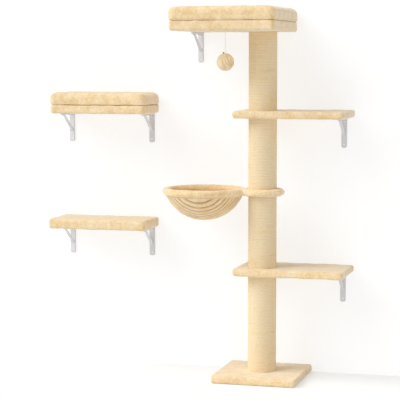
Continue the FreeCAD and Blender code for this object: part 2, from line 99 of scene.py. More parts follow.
class StageSettings(bpy.types.PropertyGroup):
    """Camera, floor, wall and lamps."""
    camera_place: FloatVectorProperty(
        name="Camera place", description="Where the camera stands",
        default=(1.386, -5.844, 1.247), unit="LENGTH")
    camera_turn: FloatProperty(
        name="Turn", description="How far the camera is turned left from straight at the wall",
        default=math.radians(15.66), unit="ROTATION")
    camera_dip: FloatProperty(
        name="Dip", description="How far the camera looks down", default=math.radians(5.21),
        unit="ROTATION")
    lens: FloatProperty(
        name="Lens", description="Focal length in millimetres on a 36 mm sensor", default=139.5)
    card: colour_setting("Card", "Colour of the floor and the wall", "#F2F2F2")
    floor_shade: FloatProperty(
        name="Floor shade", description="Share of the floor's shading that the eye sees",
        default=0.7)
    wall_shade: FloatProperty(
        name="Wall shade", description="Share of the wall's shading that the eye sees",
        default=0.45)
    floor_level: FloatProperty(
        name="Floor level", description="How brightly the open floor is lit", default=0.99)
    wall_level: FloatProperty(
        name="Wall level", description="How brightly the open wall is lit", default=0.86)
    sky: FloatProperty(
        name="Sky", description="Strength of the even light from all round", default=0.58)
    key: FloatProperty(
        name="Key lamp", description="Strength of the wide lamp at the upper left", default=2.05)
    fill: FloatProperty(
        name="Fill lamp", description="Strength of the wide lamp at the right", default=0.2)


class CoverSettings(bpy.types.PropertyGroup):
    """Plush, and the boards that it is stretched over."""
    pile: colour_setting("Pile", "Plush where its pile faces the eye", "#F9E3BE")
    pile_lean: colour_setting("Leaning pile", "Plush where its pile leans away", "#E9C992")
    # painted shade: the plush's colour down in a seam or quilting line, where shade falls
    painted_shade: colour_setting("Crease", "Plush down in a seam or a quilting line", "#B08043")
    corner: length_setting("Corner", "Radius of a covered board's corners", 0.014)
    edge: length_setting("Edge", "Radius of its upper and lower edges", 0.010)
    pressed_edge: length_setting("Pressed edge", "Radius of an upper edge below a cushion", 0.006)
    spacing: length_setting("Spacing", "Distance between the lines of its mesh", 0.008)
    ruffle: length_setting("Ruffle", "Unevenness of the pile", 0.0007)


class CushionSettings(bpy.types.PropertyGroup):
    """The two loose cushions."""
    corner: length_setting("Corner", "Radius of a cushion's corners before it is filled", 0.024)
    edge: length_setting("Edge", "Radius of its upper edges before it is filled", 0.016)
    foot: length_setting("Foot", "Radius of its lower edges before it is filled", 0.006)
    slack: length_setting("Slack", "How much smaller it is before it is filled", 0.004)
    weave: length_setting("Weave", "Spacing of the simulated cloth", 0.005)
    swell: length_setting("Swell", "The most that the filling moves the cloth", 0.006)
    bulge: length_setting("Bulge", "How far its filled front and ends stand out", 0.004)
    pressure: FloatProperty(name="Pressure", description="Push of the filling", default=4.0)
    steps: IntProperty(name="Steps", description="Frames of simulation", default=20)


class PostSettings(bpy.types.PropertyGroup):
    """The rope that the post is wound with."""
    rope: colour_setting("Rope", "Sisal on the crown of a turn", "#F9EACD")
    rope_dark: colour_setting("Rope fibres", "The darker fibres of the sisal", "#EAD0A0")
    # painted shade: the sisal's colour down between two turns, where shade falls
    groove: colour_setting("Groove", "Sisal between two turns", "#DFC08A")
    pitch: length_setting("Pitch", "Rope diameter, one turn to the next", 0.0058)
    depth: length_setting("Depth", "Depth of the groove between two turns", 0.0006)
    segments: IntProperty(name="Segments", description="Faces round the post", default=48)


class BedSettings(bpy.types.PropertyGroup):
    """The quilted basket bed and its padded rings."""
    outer_rib: length_setting("Outer rib", "Width of a quilted rib on the outside", 0.0145)
    inner_rib: length_setting("Inner rib", "Width of a quilted rib on the inside", 0.0190)
    rise: length_setting("Rise", "How far a rib stands out of its seams", 0.0046)
    cloth: length_setting("Cloth", "Thickness of the quilted shell at a seam", 0.0080)
    rings: IntProperty(name="Rings", description="Mesh rings from the middle out", default=64)
    segments: IntProperty(name="Segments", description="Mesh faces round the bed", default=300)
    sleeve_weave: length_setting("Sleeve weave", "Mesh size of the padded rings", 0.0034)
    clearance: length_setting("Clearance", "From the post's rope to the collar", 0.0008)


class BallSettings(bpy.types.PropertyGroup):
    """The hanging ball, its cord and its two knots."""
    cord: colour_setting("Cord", "The thin white cord", "#F1F0EC")
    plush: colour_setting("Ball", "The ball's plush", "#FFEECC")
    # painted shade: the ball's plush in its folds and towards its lower end, mixed with some random
    # tufts
    plush_tufts_and_shade: colour_setting("Ball folds", "The ball's plush in its folds", "#CC9A52")
    thread: colour_setting("Thread", "The dark thread end", "#2A1B18")
    cord_width: length_setting("Cord width", "Diameter of the cord", 0.0015)
    thread_knot: length_setting("Thread knot", "Radius of the knot in the dark thread", 0.0033)
    thread_width: length_setting("Thread width", "Diameter of the dark thread", 0.0022)


class SteelSettings(bpy.types.PropertyGroup):
    """The wall brackets and the fasteners."""
    powder: colour_setting("Powder coat", "Paint of the brackets", "#DFE1E6")
    zinc: colour_setting("Zinc", "Plating of screws and studs", "#B9BCC0")


class CatTreeSettings(bpy.types.PropertyGroup):
    """All settings of the cat tree."""
    stage: PointerProperty(type=StageSettings)
    covers: PointerProperty(type=CoverSettings)
    cushions: PointerProperty(type=CushionSettings)
    post: PointerProperty(type=PostSettings)
    bed: PointerProperty(type=BedSettings)
    ball: PointerProperty(type=BallSettings)
    steel: PointerProperty(type=SteelSettings)


# ------------------------------------------------------------------ node and mesh helpers

def add_node(tree, kind, inputs=None, **settings):
    """Adds a node. Each input, by name or number, takes a value or another node's output."""
    made = tree.nodes.new(kind)
    for name, value in settings.items():
        setattr(made, name, value)
    for name, value in (inputs or {}).items():
        if isinstance(value, bpy.types.NodeSocket):
            tree.links.new(value, made.inputs[name])
        else:
            made.inputs[name].default_value = value
    return made


def new_material(name):
    """An empty node material and its tree."""
    material = bpy.data.materials.new(name)
    material.use_nodes = True
    material.node_tree.nodes.clear()
    return material, material.node_tree


def link_object(name, data):
    """A new object of that data, in the scene."""
    piece = bpy.data.objects.new(name, data)
    bpy.context.scene.collection.objects.link(piece)
    return piece


def mesh_object(name, points, faces, material):
    """A smooth shaded mesh object from arrays."""
    mesh = bpy.data.meshes.new(name)
    mesh.from_pydata([tuple(p) for p in points], [], [tuple(f) for f in faces])
    mesh.validate()
    mesh.shade_smooth()
    mesh.materials.append(material)
    return link_object(name, mesh)


def coordinates(mesh):
    """The places of a mesh's points, one to a row."""
    flat = np.empty(len(mesh.vertices) * 3, np.float32)
    mesh.vertices.foreach_get("co", flat)
    return flat.reshape(-1, 3)


def set_coordinates(mesh, points):
    """Moves a mesh's points to the given places."""
    mesh.vertices.foreach_set("co", np.asarray(points, np.float32).ravel())
    mesh.update()


def keep_above(piece, floor):
    """Keeps a piece's underside flat on what it lies on."""
    points = coordinates(piece.data)
    points[:, 2] = np.maximum(points[:, 2], floor)
    set_coordinates(piece.data, points)


def set_painted_shade(mesh, depth):
    """Notes how deep each vertex lies in a seam, from 0 to 1, as the share of painted shade that
    the plush and rope materials give it.
    """
    attribute = mesh.attributes.new("painted_shade", "FLOAT", "POINT")
    attribute.data.foreach_set("value", np.asarray(depth, np.float32))


def apply_modifiers(piece):
    """Keeps the shape that the piece's modifiers give it, and drops the modifiers."""
    evaluated = piece.evaluated_get(bpy.context.evaluated_depsgraph_get())
    mesh = bpy.data.meshes.new_from_object(evaluated)
    piece.modifiers.clear()
    piece.data = mesh


def weave_evenly(piece, size):
    """Adds a modifier that gives the piece one closed skin of faces of that size."""
    remesh = piece.modifiers.new("Even cloth", "REMESH")
    remesh.mode = "VOXEL"
    remesh.voxel_size = size
    remesh.use_smooth_shade = True


def ruffle(piece, height, width, seed):
    """Moves the surface in and out by smooth noise of that height and width."""
    mesh = piece.data
    shift = Vector((seed * 7.3, seed * 3.1, seed * 5.7))
    normals = [vertex.normal.copy() for vertex in mesh.vertices]
    for vertex, normal in zip(mesh.vertices, normals):
        vertex.co += normal * height * noise.noise(vertex.co / width + shift)
    mesh.update()


def grid_lines(half, zone, spacing):
    """Places of mesh lines from -half to half, close together in the zone that gets rounded."""
    bend = half - zone + zone * np.tan(np.linspace(0, math.pi / 4, 6))[1:]
    count = max(2, round(2 * (half - zone) / spacing)) + 1
    flat = np.linspace(zone - half, half - zone, count)
    return np.concatenate([-bend[::-1], flat, bend])


def block_skin(lines):
    """Points and quads of a block's skin, with mesh lines at the given places on each axis."""
    sizes = [len(places) for places in lines]
    numbers, points, faces = {}, [], []

    def corner(index):
        if index not in numbers:
            numbers[index] = len(points)
            points.append([lines[axis][index[axis]] for axis in range(3)])
        return numbers[index]

    for axis in range(3):
        u, v = (axis + 1) % 3, (axis + 2) % 3
        for end in (0, sizes[axis] - 1):
            for i in range(sizes[u] - 1):
                for j in range(sizes[v] - 1):
                    quad = []
                    for step_u, step_v in ((0, 0), (1, 0), (1, 1), (0, 1)):
                        index = [0, 0, 0]
                        index[axis], index[u], index[v] = end, i + step_u, j + step_v
                        quad.append(corner(tuple(index)))
                    faces.append(quad if end else quad[::-1])
    return np.array(points), faces


def round_block(points, half, corner, upper, lower):
    """Rounds the corners of a block's skin as seen from above, then its upper and lower edges."""
    half = np.asarray(half)
    edge = np.where(points[:, 2] > 0, upper, lower)
    core = np.clip(points[:, :2], corner - half[:2], half[:2] - corner)
    out = points[:, :2] - core
    reach = np.abs(out).max(1)
    way = out / np.maximum(np.linalg.norm(out, axis=1), 1e-9)[:, None]
    side = edge - corner + reach
    rise = np.abs(points[:, 2]) - (half[2] - edge)
    bent = (side > 0) & (rise > 0)
    pull = np.maximum(side, rise) / np.maximum(np.hypot(side, rise), 1e-9)
    reach = np.where(bent, reach + side * (pull - 1), reach)
    height = np.where(bent, half[2] - edge + rise * pull, np.abs(points[:, 2]))
    return np.column_stack([core + way * reach[:, None], np.sign(points[:, 2]) * height])


def soft_block(name, low, high, corner, upper, lower, spacing, material):
    """A block with rounded corners and edges that fills the box from low to high."""
    low, high = np.array(low), np.array(high)
    middle, half = (low + high) / 2, (high - low) / 2
    lines = [grid_lines(half[0], corner, spacing), grid_lines(half[1], corner, spacing),
             grid_lines(half[2], max(upper, lower), spacing)]
    points, faces = block_skin(lines)
    points = round_block(points, half, corner, upper, lower) + middle
    return mesh_object(name, points, faces, material)


def tube_grid(ring, tube, places, count, ripple):
    """Points and quads of a ring shaped tube. ripple(turn, side) is its share of the radius."""
    turns = np.linspace(0, 2 * math.pi, places, endpoint=False)
    sides = np.linspace(0, 2 * math.pi, count, endpoint=False)
    turn, side = np.meshgrid(turns, sides, indexing="ij")
    width = tube * ripple(turn, side)
    points = np.column_stack([
        ((ring + width * np.cos(side)) * np.cos(turn)).ravel(),
        ((ring + width * np.cos(side)) * np.sin(turn)).ravel(),
        (width * np.sin(side)).ravel()])
    faces = []
    for i in range(places):
        for j in range(count):
            a, b = i * count + j, i * count + (j + 1) % count
            c, d = (i + 1) % places * count + (j + 1) % count, (i + 1) % places * count + j
            faces.append((a, d, c, b))
    return points, faces


def knot_mesh(name, centre, radius, cord, material):
    """A small overhand knot pulled tight, as a closed trefoil of cord."""
    curve = bpy.data.curves.new(name + "_line", "CURVE")
    curve.dimensions = "3D"
    curve.bevel_depth = cord / 2
    curve.bevel_resolution = 3
    line = curve.splines.new("NURBS")
    count = 24
    line.points.add(count - 1)
    # the knot's line, as written below, reaches 3 units from its middle
    reach = (radius - cord / 2) / 3.0
    for index, point in enumerate(line.points):
        t = 2 * math.pi * index / count
        place = Vector((math.sin(t) + 2 * math.sin(2 * t), -1.6 * math.sin(3 * t),
                        math.cos(t) - 2 * math.cos(2 * t)))
        point.co = (*(centre + place * reach), 1.0)
    line.order_u = 3
    line.use_cyclic_u = True
    line_object = link_object(name + "_line", curve)
    bpy.context.view_layer.update()
    mesh = bpy.data.meshes.new_from_object(
        line_object.evaluated_get(bpy.context.evaluated_depsgraph_get()))
    bpy.data.objects.remove(line_object)
    mesh.materials.clear()
    mesh.materials.append(material)
    return link_object(name, mesh)


def dress(piece, body, slot, *nodes):
    """Sets a piece on its body in place of its nodes."""
    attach(piece, body)
    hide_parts(*nodes)
    return piece


def paint(material, *names):
    """Gives each node that stays shown its material."""
    for name in names:
        mesh = NODES[name].data
        mesh.materials.clear()
        mesh.materials.append(material)


# ------------------------------------------------------------------ materials

def brushed_plush():
    """Polyester plush with a brushed 3 mm pile: quite matt, with a pale bloom where the pile
    stands edge on, and patches a few centimetres wide where it leans another way."""
    found = bpy.data.materials.get("brushed_plush")
    if found:
        return found
    look = bpy.context.scene.cat_tree.covers
    material, tree = new_material("brushed_plush")
    place = add_node(tree, "ShaderNodeTexCoord").outputs["Object"]
    patches = add_node(tree, "ShaderNodeTexNoise",
                       {"Vector": place, "Scale": 1 / 0.034, "Detail": 2.0, "Roughness": 0.6})
    # tufts of pile are under 1 mm, and are drawn 7 mm wide, because a smaller one doesn't show
    tufts = add_node(tree, "ShaderNodeTexNoise",
                     {"Vector": place, "Scale": 1 / 0.007, "Detail": 3.0, "Roughness": 0.7})
    both = add_node(tree, "ShaderNodeMath", {0: patches.outputs["Fac"], 1: tufts.outputs["Fac"]},
                    operation="ADD")
    lean = add_node(tree, "ShaderNodeMapRange",
                    {"Value": both.outputs[0], "From Min": 0.78, "From Max": 1.22})
    pile = add_node(tree, "ShaderNodeMix",
                    {0: lean.outputs["Result"], 6: look.pile_lean, 7: look.pile},
                    data_type="RGBA")
    # painted shade: the crease colour darkens the plush down in seams and quilting lines, where
    # shade falls
    painted_shade = add_node(tree, "ShaderNodeAttribute", attribute_name="painted_shade")
    colour = add_node(tree, "ShaderNodeMix",
                      {0: painted_shade.outputs["Fac"], 6: pile.outputs[2], 7: look.painted_shade},
                      data_type="RGBA")
    bump = add_node(tree, "ShaderNodeBump",
                    {"Height": tufts.outputs["Fac"], "Strength": 0.5, "Distance": 0.0022})
    shader = add_node(tree, "ShaderNodeBsdfPrincipled",
                      {"Base Color": colour.outputs[2], "Roughness": 0.92, "IOR": 1.5,
                       "Specular IOR Level": 0.25, "Sheen Weight": 0.85, "Sheen Roughness": 0.5,
                       "Sheen Tint": linear("#FFF8EC"), "Normal": bump.outputs["Normal"]})
    add_node(tree, "ShaderNodeOutputMaterial", {"Surface": shader.outputs[0]})
    return material


def twisted_sisal():
    """Three-strand sisal rope, wound tight: dry stiff fibres with a faint straw gloss, and
    strands that run slantwise over each turn."""
    look = bpy.context.scene.cat_tree.post
    material, tree = new_material("twisted_sisal")
    along = add_node(tree, "ShaderNodeUVMap", uv_map="rope").outputs["UV"]
    place = add_node(tree, "ShaderNodeTexCoord").outputs["Object"]
    # one strand crosses the rope every 6 mm of its length
    lay = add_node(tree, "ShaderNodeMapping",
                   {"Vector": along, "Scale": (1 / 0.006, 1.0, 1.0)}, vector_type="POINT")
    strands = add_node(tree, "ShaderNodeTexWave",
                       {"Vector": lay.outputs[0], "Scale": 2 * WAVE_LENGTH, "Distortion": 0.6},
                       bands_direction="DIAGONAL")
    # sisal fibres are 0.2 mm thick, and are drawn as streaks 1.2 mm wide and 14 mm long
    drawn = add_node(tree, "ShaderNodeMapping",
                     {"Vector": along, "Scale": (1 / 0.014, 5.0, 1.0)}, vector_type="POINT")
    fibres = add_node(tree, "ShaderNodeTexNoise",
                      {"Vector": drawn.outputs[0], "Scale": 1.0, "Detail": 3.0})
    # some turns are paler than others: patches 90 mm long and 14 mm high, which also decide where
    # the painted shade in the grooves shows
    turns = add_node(tree, "ShaderNodeMapping",
                     {"Vector": place, "Scale": (1 / 0.090, 1 / 0.090, 1 / 0.014)},
                     vector_type="POINT")
    wear_and_shade_patches = add_node(tree, "ShaderNodeTexNoise",
                    {"Vector": turns.outputs[0], "Scale": 1.0, "Detail": 3.0})
    mixed = add_node(tree, "ShaderNodeMath", {0: fibres.outputs["Fac"], 1: wear_and_shade_patches.outputs["Fac"]},
                     operation="ADD")
    share = add_node(tree, "ShaderNodeMapRange",
                     {"Value": mixed.outputs[0], "From Min": 0.75, "From Max": 1.15})
    straw = add_node(tree, "ShaderNodeMix",
                     {0: share.outputs["Result"], 6: look.rope_dark, 7: look.rope},
                     data_type="RGBA")
    # painted shade: the groove colour darkens the sisal between two turns, and shows only in random
    # patches
    painted_shade = add_node(tree, "ShaderNodeAttribute", attribute_name="painted_shade")
    groove_shade_patches = add_node(tree, "ShaderNodeMapRange",
                          {"Value": wear_and_shade_patches.outputs["Fac"], "From Min": 0.35, "From Max": 0.75})
    dark = add_node(tree, "ShaderNodeMath",
                    {0: painted_shade.outputs["Fac"], 1: groove_shade_patches.outputs["Result"]},
                    operation="MULTIPLY")
    colour = add_node(tree, "ShaderNodeMix",
                      {0: dark.outputs[0], 6: straw.outputs[2], 7: look.groove},
                      data_type="RGBA")
    bump = add_node(tree, "ShaderNodeBump",
                    {"Height": strands.outputs["Fac"], "Strength": 0.6, "Distance": 0.0006})
    shader = add_node(tree, "ShaderNodeBsdfPrincipled",
                      {"Base Color": colour.outputs[2], "Roughness": 0.78, "IOR": 1.5,
                       "Specular IOR Level": 0.3, "Normal": bump.outputs["Normal"]})
    add_node(tree, "ShaderNodeOutputMaterial", {"Surface": shader.outputs[0]})
    return material


def ball_plush():
    """The same plush gathered round a ball: the pile is pressed into long curved streaks, darkened
    with painted shade in the folds and towards the lower end.
    """
    look = bpy.context.scene.cat_tree.ball
    material, tree = new_material("gathered_plush")
    place = add_node(tree, "ShaderNodeTexCoord").outputs["Object"]
    tufts = add_node(tree, "ShaderNodeTexNoise",
                     {"Vector": place, "Scale": 1 / 0.006, "Detail": 3.0, "Roughness": 0.65})
    # painted shade: folds and the lower end are darkened, mixed with the random tufts
    painted_shade = add_node(tree, "ShaderNodeAttribute", attribute_name="painted_shade")
    shade = add_node(tree, "ShaderNodeMath",
                     {0: tufts.outputs["Fac"], 1: 0.8, 2: painted_shade.outputs["Fac"]},
                     operation="MULTIPLY_ADD")
    depth = add_node(tree, "ShaderNodeMapRange",
                     {"Value": shade.outputs[0], "From Min": 0.35, "From Max": 1.4})
    colour = add_node(tree, "ShaderNodeMix",
                      {0: depth.outputs["Result"], 6: look.plush, 7: look.plush_tufts_and_shade},
                      data_type="RGBA")
    bump = add_node(tree, "ShaderNodeBump",
                    {"Height": tufts.outputs["Fac"], "Strength": 0.5, "Distance": 0.0015})
    shader = add_node(tree, "ShaderNodeBsdfPrincipled",
                      {"Base Color": colour.outputs[2], "Roughness": 0.9, "IOR": 1.5,
                       "Specular IOR Level": 0.25, "Sheen Weight": 0.6, "Sheen Roughness": 0.5,
                       "Sheen Tint": linear("#FFF8EC"), "Normal": bump.outputs["Normal"]})
    add_node(tree, "ShaderNodeOutputMaterial", {"Surface": shader.outputs[0]})
    return material


def twisted_thread(name, colour, roughness):
    """Polyester thread or cord, twisted: fine slanting ridges and a low sheen."""
    material, tree = new_material(name)
    place = add_node(tree, "ShaderNodeTexCoord").outputs["Object"]
    # the twist repeats every 0.6 mm, and is drawn at 1.5 mm
    twist = add_node(tree, "ShaderNodeTexWave",
                     {"Vector": place, "Scale": WAVE_LENGTH / 0.0015, "Distortion": 1.0},
                     bands_direction="DIAGONAL")
    bump = add_node(tree, "ShaderNodeBump",
                    {"Height": twist.outputs["Fac"], "Strength": 0.5, "Distance": 0.0002})
    shader = add_node(tree, "ShaderNodeBsdfPrincipled",
                      {"Base Color": colour, "Roughness": roughness, "IOR": 1.54,
                       "Normal": bump.outputs["Normal"]})
    add_node(tree, "ShaderNodeOutputMaterial", {"Surface": shader.outputs[0]})
    return material


def powder_coated_steel():
    """Pressed steel with a sprayed and baked powder coat: satin, with a faint orange peel."""
    look = bpy.context.scene.cat_tree.steel
    material, tree = new_material("powder_coated_steel")
    place = add_node(tree, "ShaderNodeTexCoord").outputs["Object"]
    # orange peel is about 1 mm wide, and is drawn at 3 mm
    peel = add_node(tree, "ShaderNodeTexNoise", {"Vector": place, "Scale": 1 / 0.003})
    rubbed = add_node(tree, "ShaderNodeTexNoise",
                      {"Vector": place, "Scale": 1 / 0.025, "Detail": 4.0})
    gloss = add_node(tree, "ShaderNodeMapRange",
                     {"Value": rubbed.outputs["Fac"], "To Min": 0.34, "To Max": 0.5})
    bump = add_node(tree, "ShaderNodeBump",
                    {"Height": peel.outputs["Fac"], "Strength": 0.12, "Distance": 0.0004})
    shader = add_node(tree, "ShaderNodeBsdfPrincipled",
                      {"Base Color": look.powder, "Roughness": gloss.outputs["Result"],
                       "IOR": 1.5, "Normal": bump.outputs["Normal"]})
    add_node(tree, "ShaderNodeOutputMaterial", {"Surface": shader.outputs[0]})
    return material


def zinc_plated_steel():
    """Turned and stamped steel, zinc plated: a dull metal with cloudy patches of gloss."""
    look = bpy.context.scene.cat_tree.steel
    material, tree = new_material("zinc_plated_steel")
    place = add_node(tree, "ShaderNodeTexCoord").outputs["Object"]
    clouds = add_node(tree, "ShaderNodeTexNoise",
                      {"Vector": place, "Scale": 1 / 0.008, "Detail": 3.0})
    gloss = add_node(tree, "ShaderNodeMapRange",
                     {"Value": clouds.outputs["Fac"], "To Min": 0.26, "To Max": 0.46})
    shader = add_node(tree, "ShaderNodeBsdfPrincipled",
                      {"Base Color": look.zinc, "Metallic": 1.0,
                       "Roughness": gloss.outputs["Result"]})
    add_node(tree, "ShaderNodeOutputMaterial", {"Surface": shader.outputs[0]})
    return material


def pressed_chipboard():
    """Raw particle board: wood chips 2 to 6 mm long pressed with resin, matt and speckled."""
    material, tree = new_material("pressed_chipboard")
    place = add_node(tree, "ShaderNodeTexCoord").outputs["Object"]
    chips = add_node(tree, "ShaderNodeTexVoronoi", {"Vector": place, "Scale": 1 / 0.004})
    tone = add_node(tree, "ShaderNodeMapRange", {"Value": chips.outputs["Color"]})
    colour = add_node(tree, "ShaderNodeMix",
                      {0: tone.outputs["Result"], 6: linear("#A98555"), 7: linear("#D8BC8E")},
                      data_type="RGBA")
    shader = add_node(tree, "ShaderNodeBsdfPrincipled",
                      {"Base Color": colour.outputs[2], "Roughness": 0.85, "IOR": 1.5})
    add_node(tree, "ShaderNodeOutputMaterial", {"Surface": shader.outputs[0]})
    return material


def wound_cardboard():
    """Spiral wound kraft paper tube: matt brown, with a seam line at each wrap."""
    material, tree = new_material("wound_cardboard")
    place = add_node(tree, "ShaderNodeTexCoord").outputs["Object"]
    # the paper is wound in strips 100 mm wide
    wraps = add_node(tree, "ShaderNodeTexWave",
                     {"Vector": place, "Scale": WAVE_LENGTH / 0.1, "Distortion": 0.3},
                     bands_direction="Z")
    colour = add_node(tree, "ShaderNodeMix",
                      {0: wraps.outputs["Fac"], 6: linear("#9A7A55"), 7: linear("#B0905F")},
                      data_type="RGBA")
    shader = add_node(tree, "ShaderNodeBsdfPrincipled",
                      {"Base Color": colour.outputs[2], "Roughness": 0.88, "IOR": 1.5})
    add_node(tree, "ShaderNodeOutputMaterial", {"Surface": shader.outputs[0]})
    return material


def any_ray(tree, path, first, *rays):
    """The first value, or 1 for the rays named, from a Light Path node."""
    for ray in rays:
        first = add_node(tree, "ShaderNodeMath", {0: first, 1: path.outputs[ray]},
                         operation="MAXIMUM").outputs[0]
    return first


def eye_rays(tree, path):
    """1 for what the eye sees, be it straight, mirrored or through glass."""
    return any_ray(tree, path, path.outputs["Is Camera Ray"], "Is Glossy Ray",
                   "Is Transmission Ray")


def plain_card(name, shade, level, is_wall):
    """Matt paper card, clear from behind. The eye sees it white where it is lit to that level,
    with that share of its shading, so that it keeps a soft shadow. Light passes a wall of it."""
    look = bpy.context.scene.cat_tree.stage
    material, tree = new_material(name)
    path = add_node(tree, "ShaderNodeLightPath")
    seen = eye_rays(tree, path)
    faded = tuple(channel * shade for channel in look.card[:3])
    lift = add_node(tree, "ShaderNodeMath", {0: seen, 1: 1.0 - level * faded[0]},
                    operation="MULTIPLY")
    colour = add_node(tree, "ShaderNodeMix", {0: seen, 6: look.card, 7: (*faded, 1.0)},
                      data_type="RGBA")
    matt = add_node(tree, "ShaderNodeBsdfDiffuse", {"Color": colour.outputs[2]})
    glow = add_node(tree, "ShaderNodeEmission", {"Strength": lift.outputs[0]})
    card = add_node(tree, "ShaderNodeAddShader", {0: matt.outputs[0], 1: glow.outputs[0]})
    through = add_node(tree, "ShaderNodeNewGeometry").outputs["Backfacing"]
    if is_wall:
        # soft light passes the wall as well, so that it reaches the backs of the boards
        through = any_ray(tree, path, through, "Is Shadow Ray", "Is Diffuse Ray")
    clear = add_node(tree, "ShaderNodeBsdfTransparent")
    surface = add_node(tree, "ShaderNodeMixShader",
                       {0: through, 1: card.outputs[0], 2: clear.outputs[0]})
    add_node(tree, "ShaderNodeOutputMaterial", {"Surface": surface.outputs[0]})
    return material


# ------------------------------------------------------------------ operators

class CATTREE_OT_stage(bpy.types.Operator):
    """Makes the camera, the floor, the wall, the lamps and the sky"""
    bl_idname = "cat_tree.stage"
    bl_label = "Stage"

    def execute(self, context):
        look = context.scene.cat_tree.stage
        self.make_camera(context, look)
        floor = plain_card("stage_floor", look.floor_shade, look.floor_level, False)
        self.make_card("stage_floor", 0.0, (0.0, 0.0, -FLOOR_GAP), floor)
        wall = plain_card("stage_wall", look.wall_shade, look.wall_level, True)
        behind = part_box("bracket_upper_shelf")[1].y + WALL_GAP
        self.make_card("stage_wall", math.pi / 2, (0.0, behind, 0.0), wall)
        self.make_lamp("key_lamp", look.key, *KEY_LAMP)
        self.make_lamp("fill_lamp", look.fill, *FILL_LAMP)
        self.make_sky(context, look)
        context.scene.view_settings.view_transform = "Standard"
        return {"FINISHED"}

    def make_camera(self, context, look):
        camera = link_object("camera", bpy.data.cameras.new("camera"))
        camera.data.lens = look.lens
        camera.location = look.camera_place
        camera.rotation_euler = (math.pi / 2 - look.camera_dip, 0.0, look.camera_turn)
        context.scene.camera = camera

    def make_card(self, name, tilt, place, material):
        """A large flat card. One that is tilted up, as the wall is, begins at the floor."""
        reach = STAGE_REACH
        low = 0.0 if tilt else -reach
        points = [(-reach, low, 0), (reach, low, 0), (reach, reach, 0), (-reach, reach, 0)]
        card = mesh_object(name, points, [(0, 1, 2, 3)], material)
        card.rotation_euler.x = tilt
        card.location = place

    def make_lamp(self, name, strength, towards, width):
        """A wide far lamp. Its width is the angle that it fills in the sky."""
        lamp = link_object(name, bpy.data.lights.new(name, "SUN"))
        lamp.data.energy = strength
        lamp.data.angle = math.radians(width)
        lamp.rotation_euler = Vector(towards).to_track_quat("Z", "Y").to_euler()

    def make_sky(self, context, look):
        """Even light from all round. The eye sees it white."""
        world = context.scene.world or bpy.data.worlds.new("studio")
        context.scene.world = world
        world.use_nodes = True
        tree = world.node_tree
        tree.nodes.clear()
        seen = eye_rays(tree, add_node(tree, "ShaderNodeLightPath"))
        level = add_node(tree, "ShaderNodeMapRange",
                         {"Value": seen, "To Min": look.sky, "To Max": 1.0})
        sky = add_node(tree, "ShaderNodeBackground", {"Color": (1.0, 1.0, 1.0, 1.0),
                                                      "Strength": level.outputs["Result"]})
        add_node(tree, "ShaderNodeOutputWorld", {"Surface": sky.outputs[0]})


class CATTREE_OT_ball(bpy.types.Operator):
    """Makes the cord, the ball on it and its two knots"""
    bl_idname = "cat_tree.ball"
    bl_label = "Hanging ball"

    def execute(self, context):
        look = context.scene.cat_tree.ball
        cord_material = twisted_thread("twisted_cord", look.cord, 0.6)
        cord = self.make_cord(look, cord_material)
        ball = dress(self.make_ball(), "toy", "toy_ball", "toy_ball")
        low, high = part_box("toy_knot")
        knot = knot_mesh("cord_knot", (low + high) / 2, (high - low).z / 2, look.cord_width,
                         cord_material)
        dress(knot, "toy_knot", "toy_cord", "toy_knot")
        low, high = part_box("toy_thread_end")
        end = knot_mesh("thread_end", (low + high) / 2, look.thread_knot, look.thread_width,
                        twisted_thread("dark_thread", look.thread, 0.7))
        dress(end, "toy", "dark_thread", "toy_thread_end")
        low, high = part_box("toy_cord")
        return {"FINISHED"}

    def make_cord(self, look, material):
        """The cord hangs straight from the knot under the perch to the top of the ball."""
        low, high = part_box("toy_cord")
        x, y = (low.x + high.x) / 2, (low.y + high.y) / 2
        step = 0.020  # from each end to the next point of the line
        places = [high.z, high.z - step, low.z + step, low.z]
        curve = bpy.data.curves.new("ball_cord", "CURVE")
        curve.dimensions = "3D"
        curve.bevel_depth = look.cord_width / 2
        curve.bevel_resolution = 4
        curve.use_fill_caps = True
        line = curve.splines.new("NURBS")
        line.points.add(len(places) - 1)
        for point, z in zip(line.points, places):
            point.co = (x, y, z, 1.0)
        line.order_u = 3
        line.use_endpoint_u = True
        curve.materials.append(material)
        return dress(link_object("ball_cord", curve), "toy", "toy_cord", "toy_cord")

    def make_ball(self):
        """A ball whose plush is gathered to both ends of a slanting line, in curved folds."""
        low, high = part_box("toy_ball")
        middle, radius = (low + high) / 2, (high - low).z / 2
        rows, columns = 72, 112
        gathers = Vector((0.35, -0.25, 1.0)).normalized()  # from one gathered end to the other
        turn = gathers.to_track_quat("Z", "Y").to_matrix()
        swirl, folds_round, folds_along, fold_depth = 0.9, 4.6, 1.3, 0.0012
        points, painted_shades = [], []
        for row in range(rows + 1):
            tilt = math.pi * row / rows
            for column in range(columns):
                angle = 2 * math.pi * column / columns
                way = Vector((math.sin(tilt) * math.cos(angle), math.sin(tilt) * math.sin(angle),
                              math.cos(tilt)))
                # noise drawn out along the gathers, deeper towards the lower end
                swing = angle + swirl * math.cos(tilt)
                streak = noise.noise(Vector((folds_round * math.cos(swing),
                                             folds_round * math.sin(swing),
                                             folds_along * math.cos(tilt))))
                fold = min(max(2.2 * streak, 0.0), 1.0) * math.sin(tilt) ** 0.5
                fold *= 0.3 + 0.7 * tilt / math.pi
                points.append(middle + turn @ way * (radius - fold_depth * fold))
                # painted shade in the folds and, between them, a little more towards the lower end,
                # where the ball is shaded
                painted_shades.append(max(0.8 * fold, 0.45 * tilt / math.pi - 0.1))
        faces = [(row * columns + column, (row + 1) * columns + column,
                  (row + 1) * columns + (column + 1) % columns,
                  row * columns + (column + 1) % columns)
                 for row in range(rows) for column in range(columns)]
        ball = mesh_object("plush_ball", points, faces, ball_plush())
        set_painted_shade(ball.data, painted_shades)
        ruffle(ball, height=0.0008, width=0.006, seed=5)
        return ball


